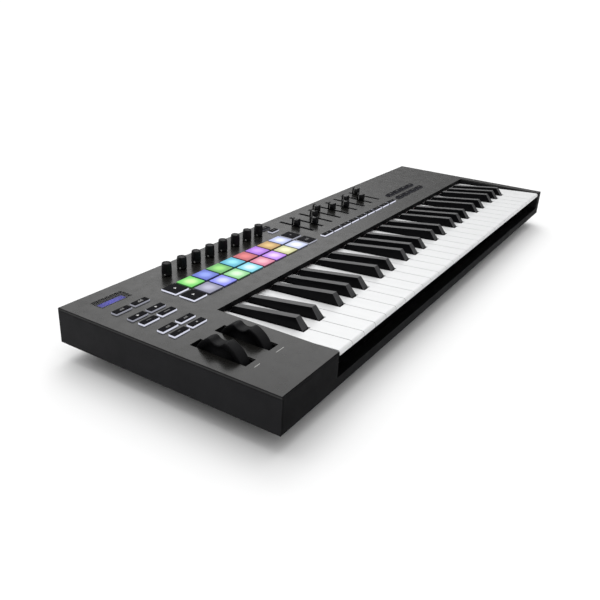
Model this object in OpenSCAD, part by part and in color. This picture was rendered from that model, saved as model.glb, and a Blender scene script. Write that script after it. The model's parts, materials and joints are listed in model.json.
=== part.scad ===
// Keyboard controller: 49 hinged keys, two thumb wheels, knobs, faders, pads and lit buttons
// in a flat two-part plastic case. Origin: centre of the footprint, on the surface it stands on.
// +X runs to the player's right, +Y to the back, +Z up. Millimetres.

/* [Body] */
// Width of the control block to the left of the keys
left_block_w = 90; // [90:0.5:94]
// Width of the end cheek to the right of the keys
cheek_w = 15; // [15:0.5:18]
// Depth of the body from front to back
body_d = 258; // [258:1:262]
// Height of the top face above the surface it stands on
top_z = 57; // [57:0.5:60]
// Thickness of the top panel
panel_t = 3; // [2.8:0.1:3.2]
// Thickness of the lower shell's walls
wall_t = 2.5; // [2.2:0.1:2.6]
// Height of the side walls, from the top face down
slab_h = 37; // [36.5:0.5:38]
// How far the lower tray stands in from the sides
tray_inset = 12; // [11:0.5:12]
// How far the tray's walls lean in on their way down
tray_taper = 16; // [15:0.5:16]
// Bevel round the top face
panel_bevel = 0.6; // [0.4:0.1:1]

/* [Keys] */
// Spacing of the white keys
white_pitch = 23.43; // [23.3:0.01:23.5]
// Gap between neighbouring white keys
key_gap = 0.83; // [0.75:0.01:0.95]
// Fall of the white keys' top for each millimetre towards the back
key_fall = 0.06; // [0.055:0.001:0.062]
// Height of the white keys' front lip
lip_h = 5; // [4.5:0.1:6]
// Height of a black key's top front edge above the top panel
black_rise = 8; // [7:0.5:9]
// Width of a black key at its foot
black_foot_w = 10.5; // [10:0.1:10.8]
// Width of a black key's top
black_top_w = 8; // [7.5:0.1:8.4]
// Radius of the rod that the keys turn on
rod_r = 2; // [1.8:0.1:2.2]
// Radial clearance of a running fit
running = 0.05; // [0.03:0.01:0.08]

/* [Wheels] */
// Radius of the thumb wheels
wheel_r = 27.5; // [26.5:0.5:28]
// Width of the thumb wheels
wheel_w = 12; // [11.5:0.1:12.5]
// Radius of the thumb scoop in a wheel
scoop_r = 10; // [9.6:0.1:10.4]
// Width of the slots for the wheels
wheel_slot_w = 14.6; // [14:0.1:15]

/* [Controls] */
// Spacing of the transport buttons
grid = 24.3; // [24.2:0.05:24.4]
// Spacing of the pads and of the knobs behind them
pad_pitch = 24.15; // [24:0.05:24.4]
// Width and depth of a pad
pad_size = [22, 21.5]; // [21:0.1:22.3]
// Height of a pad above the panel
pad_rise = 1.5; // [1:0.1:2]
// Height of a knob's top above the panel
knob_h = 14.4; // [13:0.1:16]
// Radius of a knob at its foot
knob_r = 5.6; // [5.4:0.1:6]
// Height of a fader cap's top above the panel
fader_cap_h = 11; // [9:0.5:12]
// Length of a fader's slot
fader_slot_l = 51.3; // [51:0.1:52]
// Width of a fader's slot
fader_slot_w = 3.4; // [2.4:0.1:4]
// Height of a button above the panel
button_rise = 2; // [1.6:0.1:2.4]

/* [Hidden] */
$fn = 64;

// Colours
panel_grey = [0.33, 0.33, 0.31];
side_black = [0.12, 0.12, 0.13];
part_black = [0.06, 0.06, 0.07];
key_white = [0.93, 0.93, 0.92];
board_green = [0.08, 0.28, 0.16];
steel = [0.7, 0.71, 0.72];
felt_red = [0.45, 0.12, 0.12];
pad_white = [0.82, 0.85, 0.95];

// Plan of the body, from its front left corner; heights count from the top face
white_count = 29;
octaves = 4;
key_count = 12 * octaves + 1;
key_side_gap = 2.265;
octave_w = 7 * white_pitch;
slot_x0 = left_block_w;
slot_x1 = slot_x0 + white_count * white_pitch + 2 * key_side_gap;
body_w = slot_x1 + cheek_w;
keys_x0 = slot_x0 + key_side_gap;
slot_rear = 137;
inner_wall_y = 150;
seam = 0.3;

// Levels below the top face
wall_top = -panel_t - seam;
slab_z = -slab_h;
flange_z = slab_z + wall_t;
foot_h = 2.5;
tray_z = foot_h - top_z;
floor_z = tray_z + wall_t;
tray_lean = tray_taper / (slab_z - tray_z);
tray_wall_across = wall_t * sqrt(1 + tray_lean * tray_lean);
ledge_z = slab_z + 10.5;
ledge_d = 12;

// Parting line beside each front corner of the lower shell: place, width and depth
end_line_x = 1.9;
end_line = [0.7, 1.4];

// Key mechanism
tail_pitch = octave_w / 12;
tail_w = 8;
pivot_y = 205;
pivot_z = -27;
pivot_boss_r = 6;
key_front = 0.5;
head_end = 47.5;
shank_end = 157;
flat_end = 146;
key_depth = 12;
black_clear = 6.25;
black_front = 49.6;
black_slope_end = 58.5;
black_top_end = 131;
black_base_end = 135;
black_top_end_z = -1.3;
black_angle = atan((black_rise - black_top_end_z) / (black_top_end - black_slope_end));
// Black key centres from the octave's left edge, and each white key's neighbours
black_centres = [20.73, 49.56, 90.2, 117.3, 144.1];
white_semitones = [0, 2, 4, 5, 7, 9, 11];
black_semitones = [1, 3, 6, 8, 10];
white_left_black = [-1, 0, 1, -1, 2, 3, 4];
white_right_black = [0, 1, -1, 2, 3, 4, -1];

// Wheels
wheel_xs = [27.5, 61.5];
wheel_y = 80.7;
wheel_z = -13;
wheel_slot_l = 61;
axle_r = 2.5;
axle_over = 0.8;
seat_fit = 0.02;
scoop_y = 82.3;
scoop_z = 19;
bracket_plates = [16, 43.2, 70.5];
bracket_plate_t = 2.6;
bracket_ys = [46, 116];
bracket_bar = 4;
bracket_low = -21;

// Control positions
display_c = [44, 232.6];
display_size = [40, 17.5];
lcd_size = [31.4, 7.4];
window_t = 1.2;
display_frame_z = [-5, -3.2];
lcd_top = -2.2;
display_post_x = 14;
display_post_r = 1.2;
block_columns = [31.7, 55.8];
display_button_rows = [205.7, 184.8];
octave_button_rows = [170.4, 147.2, 133.2];
small_button = [20.5, 8];
square_button = [20, 20];
device_button = [15.5, 8];
fader_button = [22.3, 7.2];
pad_x0 = 124.3;
pad_rows = [200.2, 175.8];
side_columns = [100.2, 317.5];
knob_x0 = 124.1;
knob_y = 233.7;
knob_gap = 0.8;
knob_shaft_r = 3;
knob_foot_top = 3.2;
knob_dish_r = 3.6;
knob_dot_z = 2.1;
knob_dot_r = 0.8;
knob_dot_turn = -70;
knob_dot_depth = 0.7;
fader_x0 = 357.5;
fader_pitch = 24.5;
fader_y0 = 191;
fader_cap_y = [217.5, 204, 219.5, 230, 218.5, 209.5, 223, 209.5, 231];
fader_button_x0 = 356.6;
fader_button_pitch = 24.35;
fader_button_y = 168.5;
device_x = 319;
device_ys = [227.9, 241.5];
transport_x0 = 589.5;
transport_rows = [187.5, 170.4];

display_button_at = [for (x = block_columns) for (y = display_button_rows) [x, y]];
octave_button_at = [for (x = block_columns) for (y = octave_button_rows) [x, y]];
side_button_at = [for (x = side_columns) for (y = pad_rows) [x, y]];
device_button_at = [for (y = device_ys) [device_x, y]];
fader_button_at = [for (j = [0:8]) [fader_button_x0 + fader_button_pitch * j, fader_button_y]];
transport_button_at = [for (j = [0:3]) for (y = transport_rows) [transport_x0 + grid * j, y]];
knob_at = [for (k = [0:7]) [knob_x0 + pad_pitch * k, knob_y]];
fader_at = [for (j = [0:8]) [fader_x0 + fader_pitch * j, fader_y0]];

// Levels of the inner parts, from the top face
board_top = -16;
board_t = 1.6;
// Board outline as left, right, front and rear of each part of it
board_areas = [
    [16, 86, 126, 236], [86, 300, 158, 236], [100, 300, 236, 242], [300, 345, 158, 246.5],
    [345, 566, 158, 249], [566, 700, 158, 210]
];
board_holes = [[120, 162], [400, 162], [680, 162]];
board_hole_r = 1.6;
switch_size = [5, 5];
switch_top = -13;
stem_end = -11.5;
button_base = -6;
pad_base = -2;
pad_stem = [9, 9];
pad_stem_end = -12.2;
pad_travel_space = 1.2;
encoder_size = [11, 11];
encoder_top = -9.5;
bush_r = 4;
bush_top = -3.4;
fader_body_w = 8.4;
fader_body_over = 5.5;
fader_body_top = -7;
fader_groove_over = 2;
fader_groove_z = -13;
socket_z = -25.4;
io_board_top = -34.4;
chassis_z = -49;
chassis_t = 2.5;
chassis_front = 27;
chassis_rear = 221;
chassis_ribs = [32, 120, 200];
rib_t = 6;
rib_short = 5;
ear_t = 2;
ear_half = 6;
ear_over = 5;
last_ear_x = 12.9;
contact_rails = [104, 124];
contact_rail_t = 2;
contact_board_ys = [101, 129];
contact_board_z = -29.8;
dome_y = 115;
dome_h = 4;
downstop_y = 62;
downstop_z = -23.2;
felt_w = 12;
felt_t = 3;
spring_y = 215.5;
spring_r = 1.7;
lug_h = 3;
tail_end = 218;
upstop_z = -8.1;

// Rear sockets
usb_x = 45;
midi_x = 84;
pedal_x = 122;
lock_x = 20;
lock_size = [7, 20];
io_board_area = [20, 150, 222.5, 243.2];
usb_size = [12, 10.8];
usb_mouth = [8.6, 7.9];
usb_y0 = 240;
usb_back_t = 3;
usb_foot_w = 12;
usb_plate_w = 20;
usb_plate_top = -19.6;
usb_tongue = [5.6, 3.2];
usb_tongue_back = 5.5;
din_r = 8.9;
din_y0 = 238;
din_foot_w = 14;
din_foot_l = 5;
din_plate_w = 22;
din_plate_top = -16.6;
din_mouth_r = 7.3;
din_mouth_l = 9;
din_pin_ring = 5;
din_pin_r = 0.9;
din_pin_y = 244;
jack_box_w = 14;
jack_box_y = 226;
jack_box_top = -18.4;
collar_r = 5.4;
jack_r = 3.2;
jack_l = 28;
socket_plate_t = 2;

// Fasteners and feet
screw_edge = 7.25;
screw_r = 1.45;
screw_head_r = 2.8;
boss_r = 3.2;
screw_at = concat(
    [for (x = [screw_edge, body_w - screw_edge]) for (y = [24, 129, 234]) [x, y]],
    [for (x = [200, 330, 590, 720]) [x, body_d - screw_edge]]
);
foot_r = 8;
foot_at = [for (x = [40, body_w / 2, body_w - 40]) for (y = [38, body_d - 38]) [x, y]];

// Frames and helpers
module in_body() translate([-body_w / 2, -body_d / 2, top_z]) children();
module yz(x0, w) translate([x0, 0, 0]) rotate([90, 0, 90]) linear_extrude(w) children();
module xz(y0, d) translate([0, y0 + d, 0]) rotate([90, 0, 0]) linear_extrude(d) children();
module block(x0, x1, y0, y1, z0, z1) translate([x0, y0, z0]) cube([x1 - x0, y1 - y0, z1 - z0]);
module block_at(p, size, z0, z1) translate([p[0] - size[0] / 2, p[1] - size[1] / 2, z0])
    cube([size[0], size[1], z1 - z0]);
module post(p, r, z0, z1) translate([p[0], p[1], z0]) cylinder(r = r, h = z1 - z0);
module rod_x(x0, x1, y, z, r) translate([x0, y, z]) rotate([0, 90, 0]) cylinder(r = r, h = x1 - x0);
module rod_y(x, y0, y1, z, r) translate([x, y1, z]) rotate([90, 0, 0]) cylinder(r = r, h = y1 - y0);

// A rectangle with round corners, flat, centred on a point
module round_rect(p, size, r) translate([p[0], p[1]]) {
    square([size[0] - 2 * r, size[1]], center = true);
    square([size[0], size[1] - 2 * r], center = true);
    for (sx = [-1, 1]) for (sy = [-1, 1])
        translate([sx * (size[0] / 2 - r), sy * (size[1] / 2 - r)]) circle(r = r);
}
module round_block(p, size, r, z0, z1) translate([0, 0, z0]) linear_extrude(z1 - z0)
    round_rect(p, size, r);

function key_top(y) = -key_fall * y;
function all_buttons() = concat(display_button_at, octave_button_at, side_button_at,
    device_button_at, fader_button_at, transport_button_at);

// Top panel
module panel_holes(z0, z1) {
    clear = 0.5;
    for (x = wheel_xs) block_at([x, wheel_y], [wheel_slot_w, wheel_slot_l], z0, z1);
    block_at(display_c, display_size - [4, 4], z0, z1);
    for (p = display_button_at) round_block(p, small_button + [clear, clear], 0.8, z0, z1);
    for (p = octave_button_at) round_block(p, small_button + [clear, clear], 0.8, z0, z1);
    for (p = transport_button_at) round_block(p, small_button + [clear, clear], 0.8, z0, z1);
    for (p = side_button_at) round_block(p, square_button + [clear, clear], 0.8, z0, z1);
    for (p = device_button_at) round_block(p, device_button + [clear, clear], 0.8, z0, z1);
    for (p = fader_button_at) round_block(p, fader_button + [clear, clear], 0.8, z0, z1);
    for (i = [0:7]) for (y = pad_rows)
        round_block([pad_x0 + pad_pitch * i, y], pad_size + [clear, clear], 1.2, z0, z1);
    for (p = knob_at) post(p, 3.3, z0, z1);
    for (p = fader_at) block(p[0] - fader_slot_w / 2, p[0] + fader_slot_w / 2, p[1],
        p[1] + fader_slot_l, z0, z1);
}
module panel_edge(length) polygon([
    [0, -panel_t], [0, -panel_bevel], [panel_bevel, 0],
    [length - panel_bevel, 0], [length, -panel_bevel], [length, -panel_t]
]);
module panel_skirt() {
    inner = wall_t + 0.2;
    skirt_t = 1.5;
    difference() {
        block(inner, body_w - inner, inner, body_d - inner, -panel_t - 4, -panel_t);
        block(inner + skirt_t, body_w - inner - skirt_t, inner + skirt_t, body_d - inner - skirt_t,
            -panel_t - 5, 0);
        block(slot_x0 - wall_t - 0.2, slot_x1 + wall_t + 0.2, 0, slot_rear, -panel_t - 5, 0);
    }
}
module top_case() color(panel_grey) in_body() difference() {
    union() {
        difference() {
            intersection() {
                yz(0, body_w) panel_edge(body_d);
                xz(0, body_d) panel_edge(body_w);
            }
            block(slot_x0, slot_x1, -1, slot_rear, -panel_t - 1, 1);
        }
        panel_skirt();
        block(slot_x0, slot_x1, slot_rear, slot_rear + 2.4, -6, -panel_t);
        block(slot_x0 + 2, slot_x1 - 2, slot_rear + 2.4, flat_end - 0.4, -6, -panel_t);
        for (p = screw_at) post(p, boss_r, flange_z, -panel_t);
    }
    panel_holes(-panel_t - 1, 1);
    block_at(display_c, display_size, -window_t, 1);
    for (p = screw_at) post(p, screw_r + 0.05, flange_z - 1, -15);
}

// Lower shell with walls, step and tray
module shell_walls() difference() {
    block(0, body_w, 0, body_d, slab_z, wall_top);
    block(wall_t, slot_x0 - wall_t, wall_t, body_d - wall_t, slab_z - 1, 0);
    block(slot_x0 - wall_t - 1, slot_x1 + wall_t + 1, inner_wall_y, body_d - wall_t, slab_z - 1, 0);
    block(slot_x1 + wall_t, body_w - wall_t, wall_t, body_d - wall_t, slab_z - 1, 0);
    block(slot_x0, slot_x1, -1, inner_wall_y + 1, slab_z - 1, 0);
}
module front_ledge() {
    block(slot_x0 - 1, slot_x1 + 1, 0, wall_t, slab_z, ledge_z);
    block(slot_x0 - 1, slot_x1 + 1, 0, ledge_d, ledge_z - wall_t, ledge_z);
}
// Side outline of the tray, whose walls lean in, and the block it bounds on all four sides
module tray_outline(length, inset, z0, z1) {
    low = inset + tray_lean * (slab_z - z0);
    high = inset + tray_lean * (slab_z - z1);
    polygon([[low, z0], [length - low, z0], [length - high, z1], [high, z1]]);
}
module tray(inset, z0, z1) intersection() {
    yz(0, body_w) tray_outline(body_d, inset, z0, z1);
    xz(0, body_d) tray_outline(body_w, inset, z0, z1);
}
module bottom_case() color(side_black) in_body() difference() {
    union() {
        shell_walls();
        front_ledge();
        block(0, body_w, 0, body_d, slab_z, flange_z);
        tray(tray_inset, tray_z, flange_z);
    }
    tray(tray_inset + tray_wall_across, floor_z, flange_z + 1);
    for (p = screw_at) {
        post(p, screw_r + 0.3, slab_z - 1, flange_z + 1);
        post(p, screw_head_r + 0.2, slab_z - 1, slab_z + 1.7);
    }
    usb_face(0.15, body_d - wall_t - 1, body_d + 1);
    rod_y(midi_x, body_d - wall_t - 1, body_d + 1, socket_z, din_r + 0.1);
    rod_y(pedal_x, body_d - wall_t - 1, body_d + 1, socket_z, collar_r + 0.1);
    block_at([lock_x, body_d], lock_size, socket_z - 1.5, socket_z + 1.5);
    for (x = [end_line_x, body_w - end_line_x]) block_at([x, 0], end_line, slab_z - 1, 0);
}

module rubber_feet() color(part_black) in_body()
    for (p = foot_at) translate([p[0], p[1], -top_z]) rotate_extrude()
        polygon([[0, 0], [foot_r - 0.8, 0], [foot_r, 0.8], [foot_r, foot_h], [0, foot_h]]);

module case_screws() color(steel) in_body() for (p = screw_at) difference() {
    union() {
        post(p, screw_head_r, slab_z + 0.1, slab_z + 1.6);
        post(p, screw_r, slab_z + 1.6, -17);
    }
    block_at(p, [3, 0.6], slab_z, slab_z + 0.8);
    block_at(p, [0.6, 3], slab_z, slab_z + 0.8);
}

// Display
module display_window() color(part_black) in_body()
    block_at(display_c, display_size - [0.2, 0.2], -window_t, 0);
module display_module() color([0.4, 0.4, 0.85]) in_body() {
    block_at(display_c, display_size - [5, 5], display_frame_z[0], display_frame_z[1]);
    block_at(display_c, lcd_size, display_frame_z[1], lcd_top);
    for (s = [-1, 1]) post(display_c + [s * display_post_x, 0], display_post_r, board_top,
        display_frame_z[0]);
}

// Panel electronics
module panel_circuit_board() color(board_green) in_body() {
    z0 = board_top - board_t;
    difference() {
        for (a = board_areas) block(a[0], a[1], a[2], a[3], z0, board_top);
        for (p = board_holes) post(p, board_hole_r, z0 - 1, board_top + 1);
    }
    for (p = all_buttons()) block_at(p, switch_size, board_top, switch_top);
    for (i = [0:7]) for (y = pad_rows)
        block_at([pad_x0 + pad_pitch * i, y], pad_stem, board_top, pad_stem_end - pad_travel_space);
}
module knob_encoders() color(steel) in_body() for (p = knob_at) difference() {
    union() {
        block_at(p, encoder_size, board_top, encoder_top);
        post(p, bush_r, encoder_top, bush_top);
    }
    post(p, knob_shaft_r + running, encoder_top, 0);
}
module fader_bodies() color(steel) in_body() for (p = fader_at) difference() {
    block(p[0] - fader_body_w / 2, p[0] + fader_body_w / 2, p[1] - fader_body_over,
        p[1] + fader_slot_l + fader_body_over, board_top, fader_body_top);
    block(p[0] - fader_slot_w / 2, p[0] + fader_slot_w / 2, p[1] - fader_groove_over,
        p[1] + fader_slot_l + fader_groove_over, fader_groove_z, 0);
}

// Rear sockets
module usb_face(grow, y0, y1) block(usb_x - usb_size[0] / 2 - grow, usb_x + usb_size[0] / 2 + grow,
    y0, y1, socket_z - usb_size[1] / 2 - grow, socket_z + usb_size[1] / 2 + grow);
module io_board() color(board_green) in_body()
    block(io_board_area[0], io_board_area[1], io_board_area[2], io_board_area[3],
        io_board_top - board_t, io_board_top);
module socket_foot(x, w, y0, y1) block(x - w / 2, x + w / 2, y0, y1, io_board_top, socket_z);
module socket_plate(x, w, top) block(x - w / 2, x + w / 2, body_d - wall_t - socket_plate_t,
    body_d - wall_t, io_board_top + 0.2, top);
module usb_socket() color(steel) in_body() difference() {
    union() {
        usb_face(0, usb_y0, body_d - 0.1);
        socket_foot(usb_x, usb_foot_w, usb_y0, usb_y0 + usb_back_t);
        socket_plate(usb_x, usb_plate_w, usb_plate_top);
    }
    difference() {
        block(usb_x - usb_mouth[0] / 2, usb_x + usb_mouth[0] / 2, usb_y0 + usb_back_t, body_d + 1,
            socket_z - usb_mouth[1] / 2, socket_z + usb_mouth[1] / 2);
        block(usb_x - usb_tongue[0] / 2, usb_x + usb_tongue[0] / 2, usb_y0, body_d - usb_tongue_back,
            socket_z - usb_tongue[1] / 2, socket_z + usb_tongue[1] / 2);
    }
}
module midi_socket() color(part_black) in_body() difference() {
    union() {
        rod_y(midi_x, din_y0, body_d - 0.1, socket_z, din_r);
        socket_foot(midi_x, din_foot_w, din_y0, din_y0 + din_foot_l);
        socket_plate(midi_x, din_plate_w, din_plate_top);
    }
    rod_y(midi_x, body_d - din_mouth_l, body_d + 1, socket_z, din_mouth_r);
    for (a = [-90:45:90])
        rod_y(midi_x + din_pin_ring * sin(a), din_pin_y, body_d, socket_z + din_pin_ring * cos(a),
            din_pin_r);
}
module pedal_socket() color(part_black) in_body() difference() {
    union() {
        rod_y(pedal_x, body_d - wall_t, body_d - 0.1, socket_z, collar_r);
        block(pedal_x - jack_box_w / 2, pedal_x + jack_box_w / 2, jack_box_y, body_d - wall_t,
            io_board_top + 0.05, jack_box_top);
    }
    rod_y(pedal_x, body_d - jack_l, body_d + 1, socket_z, jack_r);
}

// Thumb wheels
module wheel_bracket() color(side_black) in_body() {
    difference() {
        union() {
            for (x = bracket_plates)
                block(x, x + bracket_plate_t, bracket_ys[0], bracket_ys[1], bracket_low, wheel_z + 7);
            for (y = [bracket_ys[0], bracket_ys[1] - bracket_bar])
                block(bracket_plates[0], bracket_plates[2] + bracket_plate_t, y, y + bracket_bar,
                    bracket_low, -panel_t);
        }
        rod_x(0, slot_x0, wheel_y, wheel_z, axle_r + seat_fit);
    }
    color(steel) rod_x(bracket_plates[0] - axle_over, bracket_plates[2] + bracket_plate_t + axle_over,
        wheel_y, wheel_z, axle_r);
}
// Half section of a wheel: bore, hub, thin web and rim with bevelled edges
module wheel_section(hub_x0, hub_x1) {
    h = wheel_w / 2;
    bevel = 1.2;
    recess = 2;
    polygon([
        [axle_r + running, hub_x0], [5, hub_x0], [5, -h], [15, -h],
        [15.5, recess - h], [22, recess - h], [22.5, -h],
        [wheel_r - bevel, -h], [wheel_r, bevel - h],
        [wheel_r, h - bevel], [wheel_r - bevel, h],
        [22.5, h], [22, h - recess], [15.5, h - recess], [15, h],
        [5, h], [5, hub_x1], [axle_r + running, hub_x1]
    ]);
}
module thumb_wheel(i) color(part_black) in_body() difference() {
    gap = 0.4;
    translate([wheel_xs[i], wheel_y, wheel_z]) rotate([0, 90, 0]) rotate_extrude($fn = 128)
        wheel_section(bracket_plates[i] + bracket_plate_t + gap - wheel_xs[i],
            bracket_plates[i + 1] - gap - wheel_xs[i]);
    rod_x(0, slot_x0, scoop_y, scoop_z, scoop_r);
}
module pitch_wheel() thumb_wheel(0);
module mod_wheel() thumb_wheel(1);

// Keybed
module key_ear(x) difference() {
    block(x - ear_t / 2, x + ear_t / 2, pivot_y - ear_half, pivot_y + ear_half, chassis_z,
        pivot_z + ear_over);
    rod_x(x - ear_t, x + ear_t, pivot_y, pivot_z, rod_r + seat_fit);
}
ear_at = concat(
    [for (o = [0:octaves]) keys_x0 + o * octave_w],
    [for (o = [0:octaves - 1]) keys_x0 + o * octave_w + 6 * tail_pitch],
    [keys_x0 + octaves * octave_w + last_ear_x]
);
chassis_x0 = slot_x0 + 1;
chassis_x1 = ear_at[len(ear_at) - 1] + ear_t / 2;
module keybed_chassis() color(side_black) in_body() {
    block(chassis_x0, chassis_x1, chassis_front, chassis_rear, chassis_z, chassis_z + chassis_t);
    block(chassis_x0, chassis_x1, chassis_front, chassis_front + chassis_t, chassis_z,
        ledge_z - wall_t);
    block(chassis_x0, chassis_x1, downstop_y - 1, downstop_y + felt_w + 1, chassis_z,
        downstop_z - felt_t);
    for (y = contact_rails)
        block(chassis_x0, chassis_x1, y, y + contact_rail_t, chassis_z, contact_board_z);
    for (y = chassis_ribs)
        block(chassis_x0, chassis_x1 - rib_short, y, y + rib_t, floor_z, chassis_z);
    for (x = ear_at) key_ear(x);
}
module key_pivot_rod() color(steel) in_body()
    rod_x(ear_at[0] - 1.6, ear_at[len(ear_at) - 1] + 1.6, pivot_y, pivot_z, rod_r);
function tail_x(k) = keys_x0 + (k + 0.5) * tail_pitch;
module key_contact_board() color(board_green) in_body()
    block(keys_x0, chassis_x1, contact_board_ys[0], contact_board_ys[1], contact_board_z,
        contact_board_z + board_t);
module key_contact_rubber() color([0.3, 0.3, 0.32]) in_body() {
    z0 = contact_board_z + board_t;
    for (k = [0:key_count - 1]) translate([tail_x(k), dome_y, z0]) rotate_extrude()
        polygon([[0, 0], [4, 0], [4, 0.8], [2.6, 1.2], [2, dome_h], [0, dome_h]]);
}
module key_return_springs() color(steel) in_body()
    for (k = [0:key_count - 1])
        post([tail_x(k), spring_y], spring_r, chassis_z + chassis_t + 0.1, pivot_z - lug_h - 0.3);
module felt_strips() color(felt_red) in_body() {
    block(keys_x0, chassis_x1, downstop_y, downstop_y + felt_w, downstop_z - felt_t, downstop_z);
    block(keys_x0, slot_x1 - key_side_gap, slot_rear + 2.6, flat_end - 0.6, upstop_z, -6);
}

// Tail of every key: under the panel, over the pivot rod, with a lug for its spring
function key_back() = [
    [flat_end, key_top(flat_end)], [shank_end, pivot_z + pivot_boss_r],
    for (a = [90:-15:-90]) [pivot_y + pivot_boss_r * cos(a), pivot_z + pivot_boss_r * sin(a)],
    [shank_end, pivot_z - pivot_boss_r], [slot_rear, key_top(slot_rear) - key_depth]
];
module key_tail(k) {
    yz(tail_x(k) - tail_w / 2, tail_w) polygon(key_back());
    block(tail_x(k) - 2, tail_x(k) + 2, pivot_y, tail_end, pivot_z - lug_h, pivot_z + 2);
}
module key_bore(k) rod_x(tail_x(k) - tail_w, tail_x(k) + tail_w, pivot_y, pivot_z, rod_r + running);

// White key: lipped head, shank between the black keys, tail
module white_head() {
    r = 3;
    polygon(concat(
        [[key_front, -lip_h]],
        [for (a = [0:15:90]) [key_front + r - r * cos(a), key_top(key_front + r) - r + r * sin(a)]],
        [[head_end, key_top(head_end)], [head_end, -14.8], [30, -14.8], [28, -lip_h]]
    ));
}
module white_shank() polygon(concat(
    [[44, key_top(44) - key_depth], [44, key_top(44)]],
    [[flat_end, key_top(flat_end)], [shank_end, pivot_z + pivot_boss_r]],
    [[shank_end, pivot_z - pivot_boss_r], [slot_rear, key_top(slot_rear) - key_depth]]
));
module white_key(octave, i) {
    x0 = keys_x0 + octave * octave_w;
    whole = octave == octaves;
    head_x = x0 + i * white_pitch + key_gap / 2;
    head_w = white_pitch - key_gap;
    left = white_left_black[i] < 0 ? head_x : x0 + black_centres[white_left_black[i]] + black_clear;
    right = white_right_black[i] < 0 || whole ? head_x + head_w
        : x0 + black_centres[white_right_black[i]] - black_clear;
    k = 12 * octave + white_semitones[i];
    difference() {
        union() {
            yz(head_x, head_w) white_head();
            yz(left, right - left) white_shank();
            key_tail(k);
        }
        yz(left + 1.6, right - left - 3.2) polygon([
            [50, -40], [50, key_top(50) - 2.5], [100, key_top(100) - 2.5], [100, -40]
        ]);
        key_bore(k);
    }
}

// Black key: sloping front, tapered sides, tail
module black_side() polygon([
    [black_front, -15], [black_front, key_top(black_front)], [black_slope_end, black_rise],
    [black_top_end, black_top_end_z], [black_base_end, key_top(black_base_end)],
    [flat_end, key_top(flat_end)], [slot_rear, key_top(slot_rear) - key_depth]
]);
module black_taper() {
    depth = 11.5;
    polygon([
        [-black_foot_w / 2, -40], [-black_foot_w / 2, -depth], [-black_top_w / 2, 0.01],
        [black_top_w / 2, 0.01], [black_foot_w / 2, -depth], [black_foot_w / 2, -40]
    ]);
}
module black_key(octave, i) {
    x = keys_x0 + octave * octave_w + black_centres[i];
    k = 12 * octave + black_semitones[i];
    difference() {
        union() {
            intersection() {
                yz(x - black_foot_w / 2, black_foot_w) black_side();
                translate([x, black_slope_end, black_rise]) rotate([-black_angle, 0, 0])
                    xz(-40, 140) black_taper();
            }
            key_tail(k);
        }
        yz(x - 3.2, 6.4) polygon([
            [60, -40], [60, 3.5], [100, black_top_end_z], [100, -40]
        ]);
        key_bore(k);
    }
}
module keys_cegb(octave) color(key_white) in_body() for (i = [0, 2, 4, 6]) white_key(octave, i);
module keys_dfa(octave) color(key_white) in_body() for (i = [1, 3, 5]) white_key(octave, i);
module keys_black(octave) color(part_black) in_body() for (i = [0:4]) black_key(octave, i);
module top_c_key() color(key_white) in_body() white_key(octaves, 0);

// Knob with its shaft, which turns in the encoder's bush
module knob(k) color(part_black) in_body() translate([knob_at[k][0], knob_at[k][1], 0])
    difference() {
        rotate_extrude() polygon([
            [0, encoder_top + 0.3], [knob_shaft_r, encoder_top + 0.3], [knob_shaft_r, knob_gap],
            [knob_r, knob_gap], [knob_r - 0.1, knob_foot_top], [knob_r - 0.4, knob_h - 0.9],
            [knob_r - 0.9, knob_h], [knob_dish_r, knob_h], [knob_dish_r - 0.4, knob_h - 0.5],
            [0, knob_h - 0.5]
        ]);
        rotate([0, 0, knob_dot_turn])
            rod_y(0, -knob_r - 1, knob_dot_depth - knob_r, knob_dot_z, knob_dot_r);
    }

// Fader cap with its lever
module fader_cap(j) color(part_black) in_body()
    translate([fader_at[j][0], fader_cap_y[j], 0]) {
        h = fader_cap_h;
        difference() {
            yz(-3.3, 6.6) polygon([
                [-5.2, 1], [-5, h - 0.8], [-4.2, h], [4.2, h], [5, h - 0.8], [5.2, 1]
            ]);
            rod_x(-5, 5, 0, h + 4.2, 6);
        }
        block_at([0, 0], [1.4, 4], -11, 1.5);
    }

// Pads and buttons
module pad(p) {
    round_block(p, pad_size, 1, pad_base - 3, pad_rise);
    block_at(p, pad_stem, pad_stem_end, pad_base - 3);
}
module pad_row(y) color(pad_white) in_body() for (i = [0:7]) pad([pad_x0 + pad_pitch * i, y]);
module pads_rear_row() pad_row(pad_rows[0]);
module pads_front_row() pad_row(pad_rows[1]);
module buttons(places, size) color(part_black) in_body() for (p = places) {
    round_block(p, size, 0.6, button_base, button_rise - 0.8);
    round_block(p, size - [1, 1], 0.6, button_rise - 0.8, button_rise);
    block_at(p, [4, 4], stem_end, button_base);
}
module display_buttons() buttons(display_button_at, small_button);
module octave_buttons() buttons(octave_button_at, small_button);
module pad_side_buttons() buttons(side_button_at, square_button);
module device_buttons() buttons(device_button_at, device_button);
module fader_buttons() buttons(fader_button_at, fader_button);
module transport_buttons() buttons(transport_button_at, small_button);

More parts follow.
